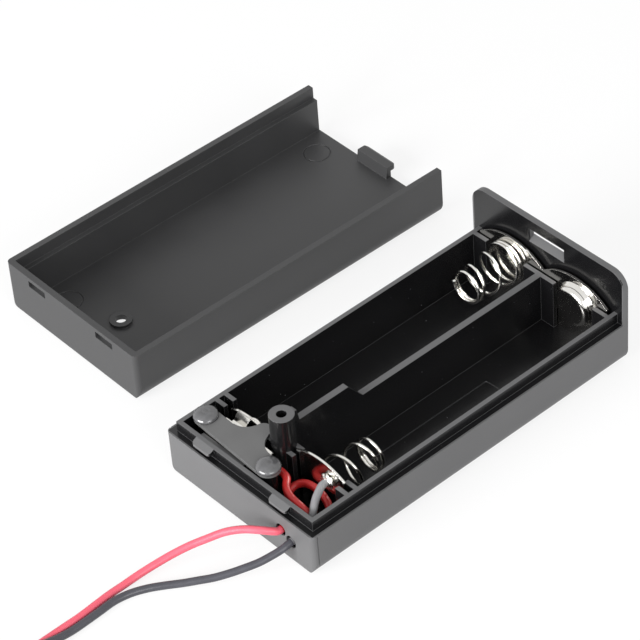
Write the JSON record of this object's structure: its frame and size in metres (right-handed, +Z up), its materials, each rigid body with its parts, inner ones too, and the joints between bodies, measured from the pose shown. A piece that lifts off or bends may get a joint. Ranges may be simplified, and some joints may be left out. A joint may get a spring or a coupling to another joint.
{
  "type": "two-cell battery holder with switch",
  "caption": "Moulded tray for round cells side by side, with spring contacts, an underside slide switch, soldered leads and a slide-on cover lying beside it.",
  "frame": {"origin": "centre of the tray's underside, on the table", "axes": "+X along the cells, from the wire end to the tall end panel; +Y across the tray, towards the loose cover; +Z up"},
  "size_m": [0.1347, 0.0854, 0.0189],
  "materials": {
    "black_plastic": "satin moulded ABS",
    "plate_plastic": "smooth sheet, mid grey sheen",
    "nickel": "bright nickel-plated spring steel",
    "red_pvc": "soft smooth insulation",
    "black_pvc": "soft smooth insulation",
    "solder": "bright set solder",
    "tie_plastic": "smooth band"
  },
  "bodies": {
    "holder": {"base_tray": "black_plastic", "cover": "black_plastic", "switch_plate": "plate_plastic", "load_terminal": "nickel", "positive_contact": "nickel", "negative_contact": "nickel", "negative_spring": "nickel", "bridge_contact": "nickel", "bridge_spring": "nickel", "red_wire": "red_pvc", "black_wire": "black_pvc", "red_solder": "solder", "black_solder": "solder", "red_lead": "red_pvc", "black_lead": "black_pvc", "red_coil": "red_pvc", "black_coil": "black_pvc", "lead_tie": "tie_plastic"},
    "switch": {"switch_slider": "black_plastic", "slider_contact": "nickel"}
  },
  "joints": [
    {"name": "switch_slide", "type": "slide", "parent": "holder", "child": "switch", "axis": [0, -1, 0], "range_m": [0, 0.0028]}
  ]
}
